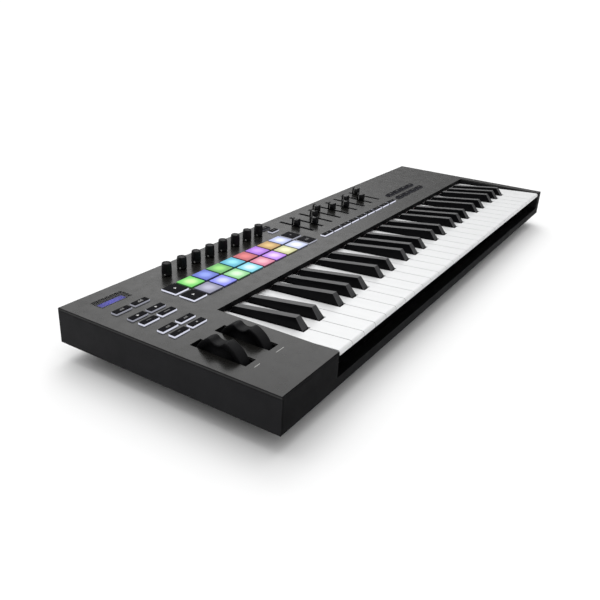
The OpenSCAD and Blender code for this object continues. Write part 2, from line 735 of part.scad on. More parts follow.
top_case();
bottom_case();
rubber_feet();
case_screws();
display_window();
display_module();
panel_circuit_board();
knob_encoders();
fader_bodies();
io_board();
usb_socket();
midi_socket();
pedal_socket();
wheel_bracket();
keybed_chassis();
key_pivot_rod();
key_contact_board();
key_contact_rubber();
key_return_springs();
felt_strips();
keys_cegb(0);  // octave1_keys_cegb
keys_dfa(0);  // octave1_keys_dfa
keys_black(0);  // octave1_keys_black
keys_cegb(1);  // octave2_keys_cegb
keys_dfa(1);  // octave2_keys_dfa
keys_black(1);  // octave2_keys_black
keys_cegb(2);  // octave3_keys_cegb
keys_dfa(2);  // octave3_keys_dfa
keys_black(2);  // octave3_keys_black
keys_cegb(3);  // octave4_keys_cegb
keys_dfa(3);  // octave4_keys_dfa
keys_black(3);  // octave4_keys_black
top_c_key();
pitch_wheel();
mod_wheel();
knob(0);  // knob_1
knob(1);  // knob_2
knob(2);  // knob_3
knob(3);  // knob_4
knob(4);  // knob_5
knob(5);  // knob_6
knob(6);  // knob_7
knob(7);  // knob_8
fader_cap(0);  // fader_cap_1
fader_cap(1);  // fader_cap_2
fader_cap(2);  // fader_cap_3
fader_cap(3);  // fader_cap_4
fader_cap(4);  // fader_cap_5
fader_cap(5);  // fader_cap_6
fader_cap(6);  // fader_cap_7
fader_cap(7);  // fader_cap_8
fader_cap(8);  // fader_cap_9
pads_rear_row();
pads_front_row();
display_buttons();
octave_buttons();
pad_side_buttons();
device_buttons();
fader_buttons();
transport_buttons();
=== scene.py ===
"""Looks of a 49-key keyboard controller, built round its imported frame. Metres, +Z up, +Y to the back."""
import json
import math

import bmesh
import bpy
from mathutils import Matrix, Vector


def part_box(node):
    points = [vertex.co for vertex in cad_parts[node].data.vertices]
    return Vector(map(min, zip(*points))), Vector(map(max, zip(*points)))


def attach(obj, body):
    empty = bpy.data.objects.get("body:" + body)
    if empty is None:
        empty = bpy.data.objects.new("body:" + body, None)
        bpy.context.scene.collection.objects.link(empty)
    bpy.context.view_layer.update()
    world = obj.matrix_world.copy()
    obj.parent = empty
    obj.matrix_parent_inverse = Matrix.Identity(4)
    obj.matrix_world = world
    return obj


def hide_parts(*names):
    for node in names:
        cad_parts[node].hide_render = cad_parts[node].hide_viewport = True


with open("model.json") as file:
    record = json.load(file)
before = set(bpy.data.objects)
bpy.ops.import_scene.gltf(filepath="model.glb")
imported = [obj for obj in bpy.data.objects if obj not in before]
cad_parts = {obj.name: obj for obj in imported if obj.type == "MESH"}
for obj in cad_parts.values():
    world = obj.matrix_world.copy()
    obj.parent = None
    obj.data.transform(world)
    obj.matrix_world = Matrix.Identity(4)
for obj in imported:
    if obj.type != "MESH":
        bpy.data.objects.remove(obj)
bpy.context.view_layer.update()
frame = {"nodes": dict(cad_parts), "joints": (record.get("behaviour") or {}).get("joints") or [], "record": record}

MM = 0.001
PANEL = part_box("top_case")[1].z
JOINTS = {j["name"]: j for j in frame["joints"]}
NODE_BODY = {n: b for b, names in frame["record"]["behaviour"]["bodies"].items() for n in names}
SAME_POINT = 1e-6                # points nearer than this are one point
FLAT = math.radians(0.8)         # faces that differ by less are one flat face
UPWARD = 0.9                     # a face looks up when its normal's Z is above this
FILM = (-0.02 * MM, 0.03 * MM)   # underside and top of a printed line, from the panel's face


# ---------------------------------------------------------------- materials

def node(mat, kind, **values):
    """A new node in a material, with its named inputs or settings given."""
    made = mat.node_tree.nodes.new(kind)
    for key, value in values.items():
        if key in made.inputs:
            made.inputs[key].default_value = value
        else:
            setattr(made, key, value)
    return made


def link(mat, out, into):
    """Joins an output socket to an input socket."""
    mat.node_tree.links.new(out, into)


def plain(name, colour, rough, metal=0.0, specular=0.5):
    """A Principled material; returns the material and its shader node."""
    mat = bpy.data.materials.new(name)
    mat.use_nodes = True
    shader = mat.node_tree.nodes["Principled BSDF"]
    shader.inputs["Base Color"].default_value = (*colour, 1)
    shader.inputs["Roughness"].default_value = rough
    shader.inputs["Metallic"].default_value = metal
    shader.inputs["Specular IOR Level"].default_value = specular
    mat.diffuse_color = (*colour, 1)
    return mat, shader


def noise(mat, size, detail=3.0, stretch=(1, 1, 1)):
    """Noise whose features are about size metres across; a stretch under 1 draws them out."""
    where = node(mat, "ShaderNodeTexCoord")
    squeeze = node(mat, "ShaderNodeMapping")
    squeeze.inputs["Scale"].default_value = [s / size for s in stretch]
    link(mat, where.outputs["Object"], squeeze.inputs["Vector"])
    made = node(mat, "ShaderNodeTexNoise", Scale=1.0, Detail=detail, Roughness=0.55)
    link(mat, squeeze.outputs["Vector"], made.inputs["Vector"])
    return made.outputs["Fac"]


def between(mat, value, low, high, low_in=0.3, high_in=0.7):
    """Maps a value between low_in and high_in to between low and high."""
    made = node(mat, "ShaderNodeMapRange")
    for key, number in (("From Min", low_in), ("From Max", high_in), ("To Min", low), ("To Max", high)):
        made.inputs[key].default_value = number
    link(mat, value, made.inputs["Value"])
    return made.outputs["Result"]


def blend(mat, share, a, b):
    """A colour between a and b by share; a and b are colours or sockets."""
    made = node(mat, "ShaderNodeMix", data_type="RGBA")
    link(mat, share, made.inputs["Factor"])
    for key, value in (("A", a), ("B", b)):
        into = next(i for i in made.inputs if i.name == key and i.type == "RGBA")
        if isinstance(value, tuple):
            into.default_value = (*value, 1)
        else:
            link(mat, value, into)
    return next(o for o in made.outputs if o.type == "RGBA")


def grain(mat, shader, size, depth, strength=0.6, detail=2.0, stretch=(1, 1, 1)):
    """Bump of the given grain size and depth."""
    bump = node(mat, "ShaderNodeBump", Strength=strength, Distance=depth)
    link(mat, noise(mat, size, detail, stretch), bump.inputs["Height"])
    link(mat, bump.outputs["Normal"], shader.inputs["Normal"])


def moulded(name, colour, rough, spread=0.06, grain_size=0.3 * MM, depth=0.02 * MM, specular=0.5):
    """Moulded plastic or rubber: grained, with a slow change of shade and of gloss."""
    mat, shader = plain(name, colour, rough, specular=specular)
    darker = tuple(c * (1 - spread) for c in colour)
    lighter = tuple(c * (1 + spread) for c in colour)
    link(mat, blend(mat, between(mat, noise(mat, 45 * MM), 0, 1), darker, lighter),
         shader.inputs["Base Color"])
    link(mat, between(mat, noise(mat, 14 * MM, 4.0), rough - 0.05, rough + 0.05),
         shader.inputs["Roughness"])
    grain(mat, shader, grain_size, depth)
    return mat


def metal(name, colour, rough, stretch=(1, 1, 1)):
    """Plated or drawn metal with fine lines along one axis."""
    mat, shader = plain(name, colour, rough, metal=1.0)
    link(mat, between(mat, noise(mat, 0.8 * MM, 3.0, stretch), rough - 0.08, rough + 0.1),
         shader.inputs["Roughness"])
    grain(mat, shader, 0.5 * MM, 0.01 * MM, 0.4, 2.0, stretch)
    return mat


def circuit_board(name):
    """Solder mask with faint straight tracks under it."""
    mat, shader = plain(name, (0.01, 0.07, 0.03), 0.35)
    where = node(mat, "ShaderNodeTexCoord")
    tracks = node(mat, "ShaderNodeTexBrick", Scale=180.0)
    tracks.inputs["Color1"].default_value = (0.012, 0.085, 0.04, 1)
    tracks.inputs["Color2"].default_value = (0.01, 0.07, 0.03, 1)
    tracks.inputs["Mortar"].default_value = (0.02, 0.13, 0.06, 1)
    link(mat, where.outputs["Object"], tracks.inputs["Vector"])
    link(mat, tracks.outputs["Color"], shader.inputs["Base Color"])
    grain(mat, shader, 1.2 * MM, 0.02 * MM)
    return mat


def felt(name):
    """Red felt: matt, fuzzy and uneven."""
    mat, shader = plain(name, (0.16, 0.02, 0.02), 0.95, specular=0.1)
    link(mat, blend(mat, noise(mat, 1.5 * MM, 4.0), (0.10, 0.012, 0.012), (0.24, 0.04, 0.035)),
         shader.inputs["Base Color"])
    shader.inputs["Sheen Weight"].default_value = 0.4
    grain(mat, shader, 0.4 * MM, 0.15 * MM)
    return mat


def panel_side_painted_highlight(name):
    """Side of the panel: dark, with a painted highlight line a little below the top, where its moulded step would
    catch the light.
    """
    mat, shader = plain(name, (0.01, 0.01, 0.011), 0.6, specular=0.1)
    where = node(mat, "ShaderNodeTexCoord")
    parts = node(mat, "ShaderNodeSeparateXYZ")
    link(mat, where.outputs["Object"], parts.inputs[0])
    reach = 3 * MM
    down = between(mat, parts.outputs["Z"], 1.0, 0.0, PANEL - reach, PANEL)
    step = node(mat, "ShaderNodeValToRGB")
    ramp = step.color_ramp.elements
    # the pale band in the ramp is a painted highlight
    dark, pale = 0.010, 0.045
    for end in (ramp[0], ramp[1]):
        end.color = (dark, dark, 0.011, 1)
    for place, level in ((0.27, dark), (0.36, pale), (0.62, pale), (0.72, dark)):
        ramp.new(place).color = (level, level, level, 1)
    link(mat, down, step.inputs["Fac"])
    uneven = between(mat, noise(mat, 20 * MM), 0, 0.35)
    link(mat, blend(mat, uneven, step.outputs["Color"], (0.012, 0.012, 0.013)), shader.inputs["Base Color"])
    grain(mat, shader, 0.3 * MM, 0.02 * MM)
    return mat


def key_ivory(name):
    """White key plastic: smooth, with very faint lengthwise flow lines."""
    colour = (0.68, 0.685, 0.69)
    mat, shader = plain(name, colour, 0.32, specular=0.4)
    shade = between(mat, noise(mat, 9 * MM, 3.0, (1, 0.08, 1)), 0, 1)
    link(mat, blend(mat, shade, tuple(c * 0.975 for c in colour), tuple(c * 1.02 for c in colour)),
         shader.inputs["Base Color"])
    link(mat, between(mat, noise(mat, 5 * MM, 4.0), 0.28, 0.38), shader.inputs["Roughness"])
    grain(mat, shader, 0.6 * MM, 0.004 * MM, 0.3)
    return mat


def key_satin(name):
    """Top and front of a black key: fine matte texture drawn out lengthwise."""
    mat, shader = plain(name, (0.022, 0.022, 0.024), 0.42)
    shade = between(mat, noise(mat, 3 * MM, 4.0, (1, 0.05, 1)), 0, 1)
    link(mat, blend(mat, shade, (0.016, 0.016, 0.018), (0.032, 0.032, 0.034)),
         shader.inputs["Base Color"])
    link(mat, between(mat, noise(mat, 2 * MM, 4.0, (1, 0.08, 1)), 0.36, 0.5),
         shader.inputs["Roughness"])
    grain(mat, shader, 0.35 * MM, 0.012 * MM, 0.5)
    return mat


def glowing_pad(name):
    """Translucent silicone lit from below: brightest over the lamp, saturated towards the edges."""
    mat, shader = plain(name, (0.04, 0.04, 0.045), 0.5, specular=0.3)
    spot = node(mat, "ShaderNodeAttribute", attribute_name="spot")
    core = node(mat, "ShaderNodeAttribute", attribute_name="core")
    edge = node(mat, "ShaderNodeAttribute", attribute_name="edge")
    reach = node(mat, "ShaderNodeVectorMath", operation="LENGTH")
    link(mat, spot.outputs["Vector"], reach.inputs[0])
    centre = node(mat, "ShaderNodeMapRange", interpolation_type="SMOOTHERSTEP")
    for key, number in (("From Min", 0.0), ("From Max", 1.15), ("To Min", 1.0), ("To Max", 0.0)):
        centre.inputs[key].default_value = number
    link(mat, reach.outputs["Value"], centre.inputs["Value"])
    glow = blend(mat, centre.outputs["Result"], edge.outputs["Color"], core.outputs["Color"])
    link(mat, glow, shader.inputs["Emission Color"])
    shader.inputs["Emission Strength"].default_value = 1.0
    grain(mat, shader, 0.5 * MM, 0.01 * MM, 0.4)
    return mat


def glowing_rim(name):
    """Translucent skirt of a button, lit as much as its glow attribute says."""
    mat, shader = plain(name, (0.05, 0.05, 0.06), 0.4, specular=0.3)
    glow = node(mat, "ShaderNodeAttribute", attribute_name="glow")
    lit = blend(mat, glow.outputs["Fac"], (0.01, 0.01, 0.013), (0.84, 0.86, 1.0))
    link(mat, lit, shader.inputs["Emission Color"])
    shader.inputs["Emission Strength"].default_value = 1.0
    grain(mat, shader, 0.6 * MM, 0.01 * MM, 0.3)
    return mat


def glowing_mark(name):
    """White print that is lit through, as bright as its glow attribute says."""
    mat, shader = plain(name, (0.07, 0.07, 0.07), 0.6, specular=0.1)
    glow = node(mat, "ShaderNodeAttribute", attribute_name="glow")
    lit = blend(mat, glow.outputs["Fac"], (0.0, 0.0, 0.0), (1.0, 1.0, 1.0))
    link(mat, lit, shader.inputs["Emission Color"])
    shader.inputs["Emission Strength"].default_value = 0.7
    grain(mat, shader, 0.4 * MM, 0.005 * MM, 0.3)
    return mat


def lit_display(name):
    """Backlit liquid crystal: violet-blue, brighter in the middle, with its dot grid just showing."""
    mat, shader = plain(name, (0.05, 0.04, 0.2), 0.3)
    lo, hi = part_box("display_module")
    lit_half, dot = 16 * MM, 0.6 * MM
    where = node(mat, "ShaderNodeTexCoord")
    parts = node(mat, "ShaderNodeSeparateXYZ")
    link(mat, where.outputs["Object"], parts.inputs[0])
    away = node(mat, "ShaderNodeMath", operation="SUBTRACT")
    away.inputs[1].default_value = (lo.x + hi.x) / 2
    link(mat, parts.outputs["X"], away.inputs[0])
    off = node(mat, "ShaderNodeMath", operation="ABSOLUTE")
    link(mat, away.outputs[0], off.inputs[0])
    middle = between(mat, off.outputs[0], 1.0, 0.0, 0.0, lit_half)
    colour = blend(mat, middle, (0.10, 0.10, 0.80), (0.22, 0.21, 1.45))
    grid = node(mat, "ShaderNodeTexChecker", Scale=1 / dot)
    link(mat, where.outputs["Object"], grid.inputs["Vector"])
    dots = between(mat, grid.outputs["Fac"], 0.0, 0.12, 0.0, 1.0)
    link(mat, blend(mat, dots, colour, (0.0, 0.0, 0.1)), shader.inputs["Emission Color"])
    shader.inputs["Emission Strength"].default_value = 0.9
    return mat


def tinted_window(name):
    """Dark clear cover: a polished film that the lit display shines through."""
    mat, shader = plain(name, (0.003, 0.003, 0.004), 0.12, specular=0.09)
    shader.inputs["Alpha"].default_value = 0.45
    link(mat, between(mat, noise(mat, 8 * MM, 3.0), 0.10, 0.18), shader.inputs["Roughness"])
    return mat


LOOK = {
    "panel": moulded("panel_grey", (0.008, 0.0077, 0.0071), 0.25, 0.08, 0.28 * MM, 0.007 * MM, 0.23),
    "shell": moulded("shell_black", (0.010, 0.010, 0.0113), 0.6, 0.08, 0.3 * MM, 0.02 * MM, 0.1),
    # the same black shell plastic made darker: painted shade for the panel's sides and the lower shell's front
    # faces
    "shell_painted_shade": moulded("shell_black_painted_shade", (0.004, 0.004, 0.0046), 0.65, 0.1,
                           0.3 * MM, 0.02 * MM, 0.04),
    # near black with almost no gloss: painted shade on the lower shell's level faces at its ledge's height
    "shade": moulded("slot_floor_black", (0.0012, 0.0012, 0.0014), 0.8, 0.1, 0.4 * MM, 0.01 * MM, 0.02),
    # dark panel side with a painted highlight line below its top
    "rim_highlight": panel_side_painted_highlight("panel_edge"),
    "ivory": key_ivory("key_white"),
    "satin": key_satin("key_black_satin"),
    # a much paler, glossier copy of the black key plastic for its bevels: painted highlight
    "edge_highlight": moulded("key_black_painted_highlight", (0.15, 0.15, 0.155), 0.25, 0.1, 0.4 * MM, 0.004 * MM, 0.6),
    # a darker copy of the black key plastic for the sides: painted shade
    "side": moulded("key_black_side_painted_shade", (0.0022, 0.0022, 0.003), 0.4, 0.1, 0.5 * MM, 0.006 * MM, 0.1),
    "tyre": moulded("wheel_rubber", (0.003, 0.003, 0.0036), 0.6, 0.12, 0.25 * MM, 0.02 * MM, 0.12),
    "knob": moulded("knob_rubber", (0.003, 0.003, 0.0036), 0.5, 0.12, 0.25 * MM, 0.015 * MM, 0.2),
    "cap": moulded("fader_black", (0.004, 0.004, 0.005), 0.45, 0.12, 0.25 * MM, 0.012 * MM, 0.3),
    "plate": moulded("button_black", (0.003, 0.003, 0.0045), 0.6, 0.1, 0.25 * MM, 0.01 * MM, 0.03),
    "foot": moulded("foot_rubber", (0.01, 0.01, 0.01), 0.85, 0.15, 0.4 * MM, 0.04 * MM),
    "contact": moulded("contact_rubber", (0.08, 0.08, 0.09), 0.7),
    "chassis": moulded("chassis_black", (0.006, 0.006, 0.007), 0.6, 0.1, 0.6 * MM, 0.03 * MM, 0.3),
    "socket": moulded("socket_black", (0.01, 0.01, 0.01), 0.3, 0.1, 0.5 * MM, 0.01 * MM),
    "steel": metal("steel_bright", (0.55, 0.56, 0.58), 0.3, (0.1, 1, 1)),
    "board": circuit_board("board_green"),
    "felt": felt("felt_red"),
    "pad": glowing_pad("pad_silicone"),
    "rim": glowing_rim("button_skirt"),
    "mark": glowing_mark("lit_mark"),
    "print": moulded("print_grey", (0.26, 0.26, 0.25), 0.6, 0.08, 0.4 * MM, 0.004 * MM),
    "display": lit_display("display_lit"),
    "window": tinted_window("window_dark"),
}


# ---------------------------------------------------------------- mesh helpers

def piece(name, bm, looks, body, slot, *stands_for):
    """A finished object from a bmesh: given its materials, body and the nodes it replaces; its record slot
    argument is not used.
    """
    bmesh.ops.recalc_face_normals(bm, faces=bm.faces)
    mesh = bpy.data.meshes.new(name)
    bm.to_mesh(mesh)
    bm.free()
    for look in looks:
        mesh.materials.append(LOOK[look])
    made = bpy.data.objects.new(name, mesh)
    bpy.context.scene.collection.objects.link(made)
    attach(made, body)
    if stands_for:
        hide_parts(*stands_for)
    return made


def solids(name):
    """Each solid of a CAD node as its (lowest, highest) corners, left to right, then front to back."""
    bm = bmesh.new()
    bm.from_mesh(frame["nodes"][name].data)
    bmesh.ops.remove_doubles(bm, verts=bm.verts, dist=SAME_POINT)
    left = set(bm.verts)
    found = []
    while left:
        group, edge = [], [left.pop()]
        while edge:
            v = edge.pop()
            group.append(v.co)
            for e in v.link_edges:
                other = e.other_vert(v)
                if other in left:
                    left.remove(other)
                    edge.append(other)
        low = Vector([min(c[i] for c in group) for i in range(3)])
        high = Vector([max(c[i] for c in group) for i in range(3)])
        found.append((low, high))
    bm.free()
    return sorted(found, key=lambda b: (round(b[0].x, 4), b[0].y))


def rounded(cx, cy, w, d, r, z):
    """A ring of points round a rectangle with round corners."""
    steps = 4
    ring = []
    for sx, sy, start in ((1, 1, 0), (-1, 1, 90), (-1, -1, 180), (1, -1, 270)):
        for i in range(steps + 1):
            a = math.radians(start + 90 * i / steps)
            ring.append((cx + sx * (w / 2 - r) + r * math.cos(a),
                         cy + sy * (d / 2 - r) + r * math.sin(a), z))
    return ring


def loft(bm, rings, material=0, smooth=True):
    """Joins rings of as many points each into a closed skin; returns its rows of vertices."""
    rows = [[bm.verts.new(p) for p in ring] for ring in rings]
    count = len(rows[0])
    for low, high in zip(rows, rows[1:]):
        for i in range(count):
            face = bm.faces.new((low[i], low[(i + 1) % count], high[(i + 1) % count], high[i]))
            face.material_index = material
            face.smooth = smooth
    bm.faces.new(reversed(rows[0])).material_index = material
    bm.faces.new(rows[-1]).material_index = material
    return rows


def crowned(bm, cx, cy, w, d, r, low, high, edge, material=0):
    """A slab with round corners, and a rounded top edge of radius edge."""
    steps, smallest = 3, 0.1 * MM
    rings = [rounded(cx, cy, w, d, r, low), rounded(cx, cy, w, d, r, high - edge)]
    for i in range(1, steps + 1):
        a = math.radians(90 * i / steps)
        inset = edge * (1 - math.cos(a))
        rings.append(rounded(cx, cy, w - 2 * inset, d - 2 * inset, max(r - inset, smallest),
                             high - edge + edge * math.sin(a)))
    return loft(bm, rings, material)


def finished(made, width=0.0, segments=2):
    """Rounds an object's sharp edges and evens the shading of its flat faces."""
    if width:
        edge = made.modifiers.new("edges", "BEVEL")
        edge.width = width
        edge.segments = segments
        edge.limit_method = "ANGLE"
        edge.angle_limit = math.radians(32)
        edge.use_clamp_overlap = True
    for face in made.data.polygons:
        face.use_smooth = True
    shading = made.modifiers.new("shading", "WEIGHTED_NORMAL")
    shading.keep_sharp = True
    shading.weight = 80


def softened(made):
    """Evens the shading of an object whose rounded edges are modelled."""
    shading = made.modifiers.new("shading", "WEIGHTED_NORMAL")
    shading.weight = 60


def cleaned(name):
    """A bmesh of a CAD node's own shape, with flat faces joined."""
    bm = bmesh.new()
    bm.from_mesh(frame["nodes"][name].data)
    bmesh.ops.remove_doubles(bm, verts=bm.verts, dist=SAME_POINT)
    bmesh.ops.dissolve_limit(bm, angle_limit=FLAT, verts=bm.verts, edges=bm.edges,
                             delimit={"NORMAL"})
    for layer in list(bm.loops.layers.uv):
        bm.loops.layers.uv.remove(layer)
    for face in bm.faces:
        face.material_index = 0
    return bm


# ---------------------------------------------------------------- case and hidden parts

def top_shell():
    """The panel keeps its shape: its sides are darker than its face, in painted shade, and the left one has a
    painted highlight line.
    """
    bm = cleaned("top_case")
    for face in bm.faces:
        # faces that don't look up take painted shade, and the left side a painted highlight line
        if face.normal.z < UPWARD:
            face.material_index = 2 if face.normal.x < -0.6 else 1
    made = piece("top_case_shell", bm, ["panel", "shell_painted_shade", "rim_highlight"], NODE_BODY["top_case"],
                 "panel_grey", "top_case")
    finished(made, 0.15 * MM)


def bottom_shell():
    """The lower shell keeps its shape: darker in front and darkest where it is level at its ledge's height, both
    in painted shade.
    """
    ledge_low, ledge_high = 30 * MM, 31 * MM
    bm = cleaned("bottom_case")
    for face in bm.faces:
        level = face.calc_center_median().z
        # front faces take the darker copy of the shell plastic: painted shade
        if face.normal.y < -0.7:
            face.material_index = 1
        # level faces at the ledge's height take painted shade
        if face.normal.z > UPWARD and ledge_low < level < ledge_high:
            face.material_index = 2
    made = piece("bottom_case_shell", bm, ["shell", "shell_painted_shade", "shade"], NODE_BODY["bottom_case"],
                 "shell_black", "bottom_case")
    finished(made, 0.25 * MM)


def inner_parts():
    """Inner and small parts keep the CAD's mesh and only take a look."""
    as_is = {
        "rubber_feet": "foot", "case_screws": "steel",
        "panel_circuit_board": "board", "knob_encoders": "steel", "fader_bodies": "chassis",
        "io_board": "board", "usb_socket": "steel", "midi_socket": "socket", "pedal_socket": "socket",
        "wheel_bracket": "chassis", "keybed_chassis": "chassis", "key_pivot_rod": "steel",
        "key_contact_board": "board", "key_contact_rubber": "contact", "key_return_springs": "steel",
        "felt_strips": "felt", "display_window": "window",
    }
    for name, look in as_is.items():
        mesh = frame["nodes"][name].data
        mesh.materials.clear()
        mesh.materials.append(LOOK[look])


def display():
    """The display keeps its shape: its top face is lit, its frame is black."""
    bm = cleaned("display_module")
    top = max(v.co.z for v in bm.verts)
    for face in bm.faces:
        lit = face.normal.z > UPWARD and face.calc_center_median().z > top - 0.1 * MM
        face.material_index = 0 if lit else 1
    piece("display_panel", bm, ["display", "plate"], NODE_BODY["display_module"], "display_lit",
          "display_module")


# ---------------------------------------------------------------- keys

def white_keys(name):
    """White keys with softly rounded edges."""
    made = piece(name + "_ivory", cleaned(name), ["ivory"], NODE_BODY[name], "key_white", name)
    finished(made, 0.45 * MM, 3)


def black_keys(name):
    """Satin on top and down the front slope; near black on the sides, in painted shade; shinier and paler along
    the edges, in a painted highlight.
    """
    looks = ["satin", "side", "edge_highlight"]
    bm = cleaned(name)
    for face in bm.faces:
        # faces that don't look up take the darker copy: painted shade
        face.material_index = looks.index("satin" if face.normal.z > 0.3 else "side")
    made = piece(name + "_satin", bm, looks, NODE_BODY[name], "key_black", name)
    finished(made, 0.9 * MM, 3)
    # the bevels take the paler copy: painted highlight
    made.modifiers["edges"].material = looks.index("edge_highlight")


# ---------------------------------------------------------------- wheels

def tread_radii(radius, steps):
    """Distance from the axle to the tread in steps even directions: round, but for a thumb scoop."""
    scoop_r, scoop_y, scoop_z = 10 * MM, 1.6 * MM, 32 * MM
    reach = math.hypot(scoop_y, scoop_z)
    toward = math.atan2(scoop_z, scoop_y)
    raw = []
    for i in range(steps):
        off = math.remainder(2 * math.pi * i / steps - toward, 2 * math.pi)
        inside = scoop_r ** 2 - (reach * math.sin(off)) ** 2
        if inside <= 0 or abs(off) > 1:
            raw.append(radius)
        else:
            raw.append(min(radius, reach * math.cos(off) - math.sqrt(inside)))
    spread = range(-3, 4)
    return [sum(raw[(i + k) % steps] for k in spread) / len(spread) for i in range(steps)]


def wheel_section(r, left, right):
    """A closed outline of (distance from the axle, x) points, where the tread is r from the axle."""
    half, hub, bore = 6 * MM, 5 * MM, 2.6 * MM
    shoulder, groove = 1.3 * MM, 0.22 * MM
    ring_out = min(22 * MM, r - 1.9 * MM)
    sunk = -half + 2 * MM
    section = [(hub, left), (hub, -half), (14.8 * MM, -half),
               (15.4 * MM, sunk), (ring_out, sunk), (ring_out + 0.5 * MM, -half)]
    for k in range(5):
        b = math.radians(22.5 * k)
        section.append((r - shoulder + shoulder * math.sin(b), -half + shoulder * (1 - math.cos(b))))
    section += [(r - 0.02 * MM, -half + 1.7 * MM), (r - groove, sunk), (r - 0.02 * MM, -half + 2.3 * MM)]
    section += [(q, -x) for q, x in reversed(section[1:])]
    return section + [(hub, right), (bore, right), (bore, left)]


def wheel(name):
    """A soft wheel with a thumb scoop between two rounded horns, and a recessed ring in each side."""
    centre = Vector(JOINTS[name + "_turn"]["pos_m"])
    low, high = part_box(name)
    steps = 360
    bm = bmesh.new()
    rows = []
    for i, r in enumerate(tread_radii((high.y - low.y) / 2, steps)):
        a = 2 * math.pi * i / steps
        section = wheel_section(r, low.x - centre.x, high.x - centre.x)
        rows.append([bm.verts.new((centre.x + x, centre.y + q * math.cos(a), centre.z + q * math.sin(a)))
                     for q, x in section])
    count = len(rows[0])
    for i in range(steps):
        here, there = rows[i], rows[(i + 1) % steps]
        for k in range(count):
            bm.faces.new((here[k], there[k], there[(k + 1) % count], here[(k + 1) % count])).smooth = True
    softened(piece(name + "_tyre", bm, ["tyre"], name, "wheel_rubber", name))


# ---------------------------------------------------------------- knobs and faders

# A knob's profile: radius and height above the panel in mm, and how much of the ribs shows there
KNOB_PROFILE = [(3.0, -9.2, 0), (3.0, 2.0, 0), (4.4, 2.0, 0), (4.6, 0.8, 0), (5.3, 0.8, 0), (5.58, 1.1, 0),
                (5.58, 2.6, 0), (5.42, 3.0, 0.3), (5.42, 3.6, 1), (5.34, 8, 1), (5.24, 11.6, 1),
                (5.2, 12.3, 0.3), (5.22, 12.8, 0), (5.12, 13.6, 0), (4.9, 14.1, 0), (4.55, 14.36, 0),
                (4.1, 14.4, 0), (3.85, 14.2, 0), (3.7, 13.8, 0), (2.0, 13.9, 0)]
PROFILE_FOOT, PROFILE_TOP = 5.6, 14.4


def knob_skin(cx, cy, wide, tall):
    """The rings of a ribbed knob, from its shaft up to its top; wide and tall scale the profile."""
    ribs, per_rib, rib_height = 36, 4, 0.13
    steps = ribs * per_rib
    rings = []
    for r, z, rib in KNOB_PROFILE:
        ring = []
        for i in range(steps):
            a = 2 * math.pi * i / steps
            q = (r + rib_height * rib * math.cos(ribs * a)) * MM * wide
            ring.append((cx + q * math.cos(a), cy + q * math.sin(a), PANEL + z * MM * tall))
        rings.append(ring)
    return rings


def knob_dot(cx, cy, wide):
    """The rings of a round dot, sunk into the foot of a knob and standing a little out of it."""
    turned, level = math.radians(200), 2.1 * MM
    ahead = Vector((math.cos(turned), math.sin(turned), 0))
    across = Vector((-math.sin(turned), math.cos(turned), 0))
    middle = Vector((cx, cy, PANEL + level))
    around = [math.radians(30 * i) for i in range(12)]
    rings = []
    for out, radius in ((4.9, 1.0), (5.56, 1.0), (5.6, 0.85)):
        rings.append([middle + ahead * out * MM * wide + across * radius * MM * math.cos(a)
                      + Vector((0, 0, radius * MM * math.sin(a))) for a in around])
    return rings


def knob(name):
    """A slim ribbed knob with a raised ring on top and a pale dot low on its side."""
    low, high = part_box(name)
    cx, cy = (low.x + high.x) / 2, (low.y + high.y) / 2
    wide = (high.x - low.x) / 2 / (PROFILE_FOOT * MM)
    tall = (high.z - PANEL) / (PROFILE_TOP * MM)
    bm = bmesh.new()
    loft(bm, knob_skin(cx, cy, wide, tall))
    loft(bm, knob_dot(cx, cy, wide), 1, smooth=False)
    softened(piece(name + "_grip", bm, ["knob", "print"], name, "knob_black", name))


def cap_height(t, d, tall):
    """Height of a fader cap's top at t, from 0 at the front to 1 at the back: dipped, with round ends."""
    dip_r, dip, end_r = 6.4 * MM, 1.9 * MM, 1.0 * MM
    off = abs(t - 0.5) * d
    inside = dip_r ** 2 - off ** 2
    fall = max(0.0, math.sqrt(inside) - (dip_r - dip)) if inside > 0 else 0.0
    end = max(0.0, off - (d / 2 - end_r))
    return tall - fall - end ** 2 / (2 * end_r)


def cap_rows(cx, cy, w, d, foot, tall):
    """Rows of points across a fader cap, from front to back; the two end rows lean in."""
    across, waist = 24, foot + tall * 0.45
    rows = []
    for i in range(across + 1):
        t = i / across
        y = cy - d / 2 + d * t
        top = foot + cap_height(t, d, tall)
        half = w / 2 - (0.35 * MM if i in (0, across) else 0)
        neck = half - 0.5 * MM
        side = [(half, foot), (half - 0.25 * MM, waist), (neck, top - 0.9 * MM),
                (neck - 0.25 * MM, top - 0.3 * MM), (neck - 0.9 * MM, top)]
        rows.append([(cx - x, y, z) for x, z in side] + [(cx, y, top + 0.03 * MM)]
                    + [(cx + x, y, z) for x, z in reversed(side)])
    return rows


def cap_line(bm, cx, cy, w, d, foot, tall):
    """The pale line across a fader cap, a little behind its middle, drawn as a thin band over its skin."""
    behind, half_wide = 1.9, 0.45
    middle = foot + cap_height(0.5 + behind * MM / d, d, tall)
    line = [(-1, foot + 0.6 * MM), (-0.93, foot + tall * 0.45), (-0.84, middle - 0.9 * MM),
            (-0.75, middle - 0.25 * MM), (-0.55, middle + 0.04 * MM), (0, middle + 0.07 * MM)]
    line += [(-x, z) for x, z in reversed(line[:-1])]
    reach = w / 2 + 0.02 * MM
    front, back = [[bm.verts.new((cx + x * reach, cy + (behind + s * half_wide) * MM, z)) for x, z in line]
                   for s in (-1, 1)]
    for k in range(len(line) - 1):
        bm.faces.new((front[k], front[k + 1], back[k + 1], back[k])).material_index = 1


